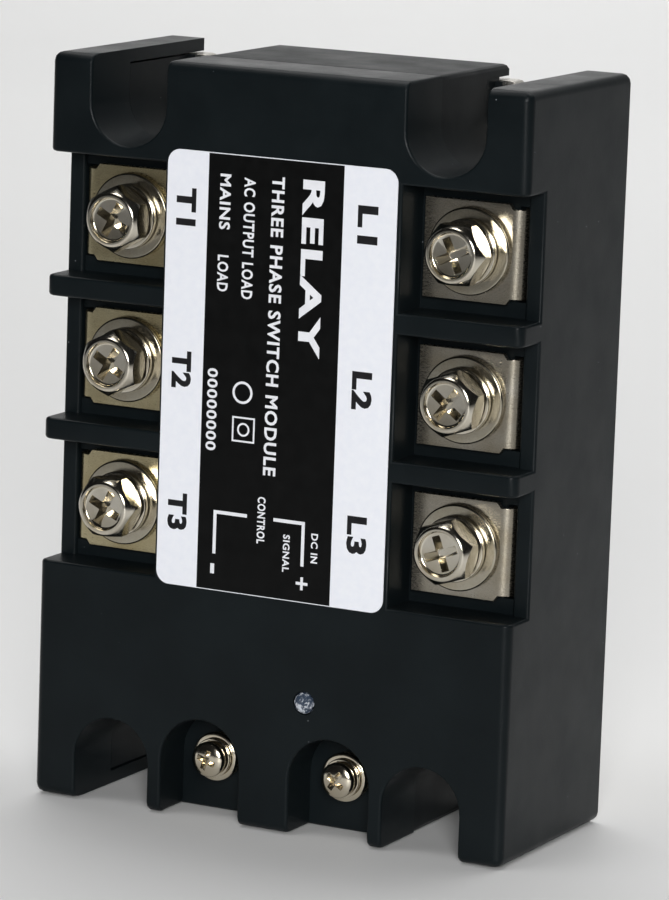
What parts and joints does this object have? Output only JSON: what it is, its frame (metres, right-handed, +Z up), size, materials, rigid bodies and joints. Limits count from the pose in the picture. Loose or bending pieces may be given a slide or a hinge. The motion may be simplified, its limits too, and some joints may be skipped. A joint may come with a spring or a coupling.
{
  "type": "three-phase solid state relay",
  "caption": "Panel-mount power relay in a black housing: screw terminals in open side compartments, input terminals at one end, label and indicator lamp on the front, metal base plate.",
  "frame": {"origin": "middle of the bottom of the bounding box, under the end that carries the two input terminals", "axes": "+X across the width, to the right for someone facing the label; +Z up the long side, from the input end to the top row of load terminals; the front face looks along -Y and the base plate's back looks along +Y"},
  "size_m": [0.073, 0.033, 0.105],
  "materials": {
    "black_plastic": "near-black moulded thermoplastic, fine satin texture",
    "case_plastic": "near-black moulded thermoplastic, a little duller than the front housing",
    "base_metal": "nickel-plated metal base plate, brushed",
    "label_foil": "printed adhesive foil, pale edge strips and a black middle",
    "lamp_clear": "clear domed indicator lens",
    "nickel_plate": "satin nickel plating on copper",
    "plated_steel": "bright nickel-plated steel",
    "post_brass": "nickel-plated brass",
    "board_green": "green glass-epoxy board",
    "package_black": "black moulded package",
    "resistor_blue": "blue lacquered resistor body",
    "ceramic_white": "white alumina ceramic",
    "silicon_grey": "metallised silicon"
  },
  "bodies": {
    "housing": {"front_housing": "black_plastic", "rear_case": "case_plastic", "base_plate": "base_metal", "label": "label_foil", "status_lamp": "lamp_clear", "circuit_board": "board_green", "busbar_left_1": "nickel_plate", "nut_left_1": "plated_steel", "thyristor_left_1": "silicon_grey", "busbar_left_2": "nickel_plate", "nut_left_2": "plated_steel", "thyristor_left_2": "silicon_grey", "busbar_left_3": "nickel_plate", "nut_left_3": "plated_steel", "thyristor_left_3": "silicon_grey", "busbar_right_1": "nickel_plate", "nut_right_1": "plated_steel", "thyristor_right_1": "silicon_grey", "busbar_right_2": "nickel_plate", "nut_right_2": "plated_steel", "thyristor_right_2": "silicon_grey", "busbar_right_3": "nickel_plate", "nut_right_3": "plated_steel", "thyristor_right_3": "silicon_grey", "optocoupler_1": "package_black", "gate_resistor_1": "resistor_blue", "ceramic_1": "ceramic_white", "optocoupler_2": "package_black", "gate_resistor_2": "resistor_blue", "ceramic_2": "ceramic_white", "optocoupler_3": "package_black", "gate_resistor_3": "resistor_blue", "ceramic_3": "ceramic_white", "input_post_minus": "post_brass", "input_post_plus": "post_brass"},
    "washers_left_1": {"spring_washer_left_1": "plated_steel", "flat_washer_left_1": "plated_steel"},
    "driver_left_1": {"screw_left_1": "plated_steel"},
    "washers_left_2": {"spring_washer_left_2": "plated_steel", "flat_washer_left_2": "plated_steel"},
    "driver_left_2": {"screw_left_2": "plated_steel"},
    "washers_left_3": {"spring_washer_left_3": "plated_steel", "flat_washer_left_3": "plated_steel"},
    "driver_left_3": {"screw_left_3": "plated_steel"},
    "washers_right_1": {"spring_washer_right_1": "plated_steel", "flat_washer_right_1": "plated_steel"},
    "driver_right_1": {"screw_right_1": "plated_steel"},
    "washers_right_2": {"spring_washer_right_2": "plated_steel", "flat_washer_right_2": "plated_steel"},
    "driver_right_2": {"screw_right_2": "plated_steel"},
    "washers_right_3": {"spring_washer_right_3": "plated_steel", "flat_washer_right_3": "plated_steel"},
    "driver_right_3": {"screw_right_3": "plated_steel"},
    "washers_minus": {"input_spring_washer_minus": "plated_steel", "input_flat_washer_minus": "plated_steel"},
    "driver_minus": {"input_screw_minus": "plated_steel"},
    "washers_plus": {"input_spring_washer_plus": "plated_steel", "input_flat_washer_plus": "plated_steel"},
    "driver_plus": {"input_screw_plus": "plated_steel"}
  },
  "joints": [
    {"name": "lift_left_1", "type": "slide", "parent": "housing", "child": "washers_left_1", "axis": [0, -1, 0], "range_m": [0, 0.0072]},
    {"name": "turn_left_1", "type": "hinge", "parent": "washers_left_1", "child": "driver_left_1", "pos_m": [-0.026, -0.0102, 0.08255], "axis": [0, -1, 0], "range_deg": [0, 3240]},
    {"name": "lift_left_2", "type": "slide", "parent": "housing", "child": "washers_left_2", "axis": [0, -1, 0], "range_m": [0, 0.0072]},
    {"name": "turn_left_2", "type": "hinge", "parent": "washers_left_2", "child": "driver_left_2", "pos_m": [-0.026, -0.0102, 0.0624], "axis": [0, -1, 0], "range_deg": [0, 3240]},
    {"name": "lift_left_3", "type": "slide", "parent": "housing", "child": "washers_left_3", "axis": [0, -1, 0], "range_m": [0, 0.0072]},
    {"name": "turn_left_3", "type": "hinge", "parent": "washers_left_3", "child": "driver_left_3", "pos_m": [-0.026, -0.0102, 0.0422], "axis": [0, -1, 0], "range_deg": [0, 3240]},
    {"name": "lift_right_1", "type": "slide", "parent": "housing", "child": "washers_right_1", "axis": [0, -1, 0], "range_m": [0, 0.0072]},
    {"name": "turn_right_1", "type": "hinge", "parent": "washers_right_1", "child": "driver_right_1", "pos_m": [0.026, -0.0102, 0.08255], "axis": [0, -1, 0], "range_deg": [0, 3240]},
    {"name": "lift_right_2", "type": "slide", "parent": "housing", "child": "washers_right_2", "axis": [0, -1, 0], "range_m": [0, 0.0072]},
    {"name": "turn_right_2", "type": "hinge", "parent": "washers_right_2", "child": "driver_right_2", "pos_m": [0.026, -0.0102, 0.0624], "axis": [0, -1, 0], "range_deg": [0, 3240]},
    {"name": "lift_right_3", "type": "slide", "parent": "housing", "child": "washers_right_3", "axis": [0, -1, 0], "range_m": [0, 0.0072]},
    {"name": "turn_right_3", "type": "hinge", "parent": "washers_right_3", "child": "driver_right_3", "pos_m": [0.026, -0.0102, 0.0422], "axis": [0, -1, 0], "range_deg": [0, 3240]},
    {"name": "lift_minus", "type": "slide", "parent": "housing", "child": "washers_minus", "axis": [0, -1, 0], "range_m": [0, 0.0055]},
    {"name": "turn_minus", "type": "hinge", "parent": "washers_minus", "child": "driver_minus", "pos_m": [-0.0101, -0.0103, 0.00795], "axis": [0, -1, 0], "range_deg": [0, 3960]},
    {"name": "lift_plus", "type": "slide", "parent": "housing", "child": "washers_plus", "axis": [0, -1, 0], "range_m": [0, 0.0055]},
    {"name": "turn_plus", "type": "hinge", "parent": "washers_plus", "child": "driver_plus", "pos_m": [0.0101, -0.0103, 0.00795], "axis": [0, -1, 0], "range_deg": [0, 3960]}
  ],
  "couplings": [
    {"joint": "turn_left_1", "follows": "lift_left_1", "rad_per_m": 7854},
    {"joint": "turn_left_2", "follows": "lift_left_2", "rad_per_m": 7854},
    {"joint": "turn_left_3", "follows": "lift_left_3", "rad_per_m": 7854},
    {"joint": "turn_right_1", "follows": "lift_right_1", "rad_per_m": 7854},
    {"joint": "turn_right_2", "follows": "lift_right_2", "rad_per_m": 7854},
    {"joint": "turn_right_3", "follows": "lift_right_3", "rad_per_m": 7854},
    {"joint": "turn_minus", "follows": "lift_minus", "rad_per_m": 12566},
    {"joint": "turn_plus", "follows": "lift_plus", "rad_per_m": 12566}
  ]
}
